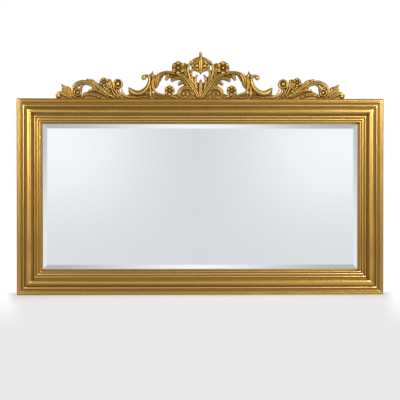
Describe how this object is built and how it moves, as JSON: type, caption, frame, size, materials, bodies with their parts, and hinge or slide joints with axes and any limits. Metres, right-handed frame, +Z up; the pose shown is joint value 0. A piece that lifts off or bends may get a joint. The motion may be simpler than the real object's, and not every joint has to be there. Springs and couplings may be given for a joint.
{
  "type": "overmantel mirror",
  "caption": "Wide rectangular bevelled mirror in a moulded gilt frame, with a pierced carved crest of scrolls, leaves and rosettes, and hanging rings at the back.",
  "frame": {"origin": "middle of the bottom edge, half way through the whole depth", "axes": "+X to the right seen from the front, +Y to the back (towards the wall), +Z up; the mirror faces -Y"},
  "size_m": [1.5, 0.057, 0.994],
  "materials": {
    "gilt_frame": "antique gold leaf over gesso",
    "gilt_crest": "antique gold leaf, carved",
    "mirror": "silvered and bevelled",
    "backboard": "hardboard",
    "bare_wood": "bare beech",
    "steel": "zinc plated",
    "felt": "dark foam and felt"
  },
  "bodies": {
    "frame": {"top_rail": "gilt_frame", "bottom_rail": "gilt_frame", "left_stile": "gilt_frame", "right_stile": "gilt_frame", "top_slip": "gilt_frame", "bottom_slip": "gilt_frame", "left_slip": "gilt_frame", "right_slip": "gilt_frame", "mitre_splines": "bare_wood", "corner_plates": "steel", "corner_plate_screws": "steel", "mirror_plate": "mirror", "rebate_tape": "felt", "setting_blocks": "felt", "backboard": "backboard", "turn_button_screws": "steel", "hanger_strap_left": "steel", "hanger_strap_right": "steel", "hanger_screws": "steel", "wall_bumpers": "felt", "crest_centre": "gilt_crest", "crest_scroll_left": "gilt_crest", "crest_scroll_right": "gilt_crest", "crest_end_left": "gilt_crest", "crest_end_right": "gilt_crest", "rosette_upper_left": "gilt_crest", "rosette_upper_right": "gilt_crest", "rosette_lower_left": "gilt_crest", "rosette_lower_right": "gilt_crest", "rosette_end_left": "gilt_crest", "rosette_end_right": "gilt_crest", "crest_dowels": "bare_wood", "crest_plates": "steel", "crest_plate_screws": "steel"},
    "turn_button_top_left": {"turn_button_top_left": "steel"},
    "turn_button_top_middle": {"turn_button_top_middle": "steel"},
    "turn_button_top_right": {"turn_button_top_right": "steel"},
    "turn_button_bottom_left": {"turn_button_bottom_left": "steel"},
    "turn_button_bottom_middle": {"turn_button_bottom_middle": "steel"},
    "turn_button_bottom_right": {"turn_button_bottom_right": "steel"},
    "turn_button_left": {"turn_button_left": "steel"},
    "turn_button_right": {"turn_button_right": "steel"},
    "d_ring_left": {"d_ring_left": "steel"},
    "d_ring_right": {"d_ring_right": "steel"}
  },
  "joints": [
    {"name": "turn_button_top_left_pivot", "type": "hinge", "parent": "frame", "child": "turn_button_top_left", "pos_m": [-0.48, 0.0214, 0.7186], "axis": [0, 1, 0], "continuous": true},
    {"name": "turn_button_top_middle_pivot", "type": "hinge", "parent": "frame", "child": "turn_button_top_middle", "pos_m": [0, 0.0214, 0.7186], "axis": [0, 1, 0], "continuous": true},
    {"name": "turn_button_top_right_pivot", "type": "hinge", "parent": "frame", "child": "turn_button_top_right", "pos_m": [0.48, 0.0214, 0.7186], "axis": [0, 1, 0], "continuous": true},
    {"name": "turn_button_bottom_left_pivot", "type": "hinge", "parent": "frame", "child": "turn_button_bottom_left", "pos_m": [-0.48, 0.0214, 0.0834], "axis": [0, 1, 0], "continuous": true},
    {"name": "turn_button_bottom_middle_pivot", "type": "hinge", "parent": "frame", "child": "turn_button_bottom_middle", "pos_m": [0, 0.0214, 0.0834], "axis": [0, 1, 0], "continuous": true},
    {"name": "turn_button_bottom_right_pivot", "type": "hinge", "parent": "frame", "child": "turn_button_bottom_right", "pos_m": [0.48, 0.0214, 0.0834], "axis": [0, 1, 0], "continuous": true},
    {"name": "turn_button_left_pivot", "type": "hinge", "parent": "frame", "child": "turn_button_left", "pos_m": [-0.6666, 0.0214, 0.401], "axis": [0, 1, 0], "continuous": true},
    {"name": "turn_button_right_pivot", "type": "hinge", "parent": "frame", "child": "turn_button_right", "pos_m": [0.6666, 0.0214, 0.401], "axis": [0, 1, 0], "continuous": true},
    {"name": "d_ring_left_swing", "type": "hinge", "parent": "frame", "child": "d_ring_left", "pos_m": [-0.7033, 0.02405, 0.632], "axis": [1, 0, 0], "range_deg": [0, 175]},
    {"name": "d_ring_right_swing", "type": "hinge", "parent": "frame", "child": "d_ring_right", "pos_m": [0.7033, 0.02405, 0.632], "axis": [1, 0, 0], "range_deg": [0, 175]}
  ]
}
